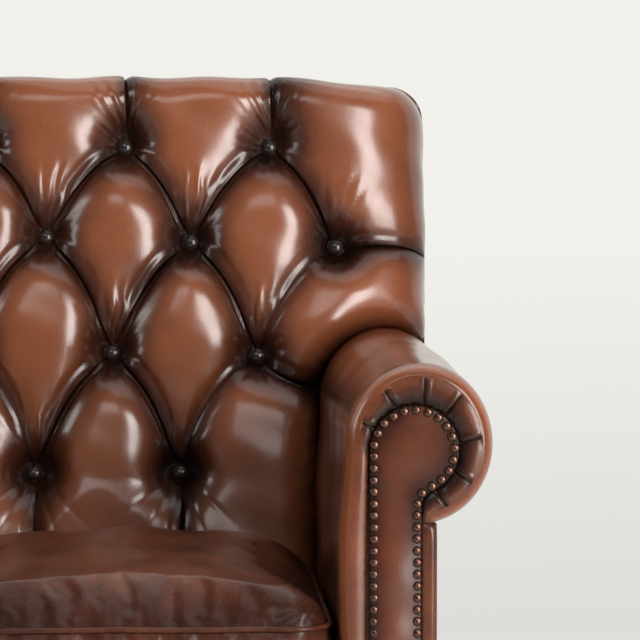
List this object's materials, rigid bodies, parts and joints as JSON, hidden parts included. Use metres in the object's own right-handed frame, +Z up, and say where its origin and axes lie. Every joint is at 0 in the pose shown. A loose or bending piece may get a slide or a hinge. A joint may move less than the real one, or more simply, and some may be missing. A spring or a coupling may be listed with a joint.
{
  "type": "chesterfield armchair",
  "caption": "Deep-buttoned leather club armchair with rolled scroll arms, nailed facings, high leaning back, loose seat cushion and bun feet.",
  "frame": {"origin": "on the floor under the middle of the chair's width and depth", "axes": "+X to the right of a person looking at the chair's front, -Y out of its front, +Z up"},
  "size_m": [0.868, 0.8481, 1.0256],
  "materials": {
    "leather": "gloss",
    "cushion_leather": "gloss",
    "facing_leather": "satin",
    "outside_leather": "gloss",
    "button_leather": "gloss",
    "stuffing": "matte",
    "beech": "satin",
    "mahogany": "gloss",
    "nail_bronze": "satin",
    "spring_steel": "satin",
    "jute": "matte",
    "deck_cloth": "matte",
    "glide_plastic": "matte"
  },
  "bodies": {
    "chair_frame": {"back_border": "leather", "back_buttons": "button_leather", "back_hessian": "jute", "back_lower_rail": "beech", "back_top_rail": "beech", "back_webbing": "jute", "corner_block_screws": "spring_steel", "corner_blocks": "beech", "dust_cover": "deck_cloth", "foot_bolts": "spring_steel", "foot_glides": "glide_plastic", "front_border": "leather", "front_left_foot": "mahogany", "front_right_foot": "mahogany", "front_seat_rail": "beech", "inside_back_pad": "leather", "left_arm_facing": "facing_leather", "left_arm_front_board": "beech", "left_arm_front_wrap": "leather", "left_arm_pad": "leather", "left_arm_stuffing_rail": "beech", "left_arm_top_rail": "beech", "left_back_post": "beech", "left_facing_nails": "nail_bronze", "left_outside_arm_panel": "outside_leather", "left_seat_rail": "beech", "outside_back_panel": "outside_leather", "rear_left_foot": "mahogany", "rear_right_foot": "mahogany", "rear_seat_rail": "beech", "right_arm_facing": "facing_leather", "right_arm_front_board": "beech", "right_arm_front_wrap": "leather", "right_arm_pad": "leather", "right_arm_stuffing_rail": "beech", "right_arm_top_rail": "beech", "right_back_post": "beech", "right_facing_nails": "nail_bronze", "right_outside_arm_panel": "outside_leather", "right_seat_rail": "beech", "seat_deck": "deck_cloth", "seat_springs": "spring_steel", "spring_clips": "spring_steel", "tufting_twines": "jute"},
    "seat_cushion": {"seat_cushion_cover": "cushion_leather", "seat_cushion_core": "stuffing", "seat_cushion_welts": "cushion_leather"}
  },
  "joints": [
    {"name": "seat_cushion_lift", "type": "slide", "parent": "chair_frame", "child": "seat_cushion", "axis": [0, 0, 1], "range_m": [0, 0.3]}
  ]
}
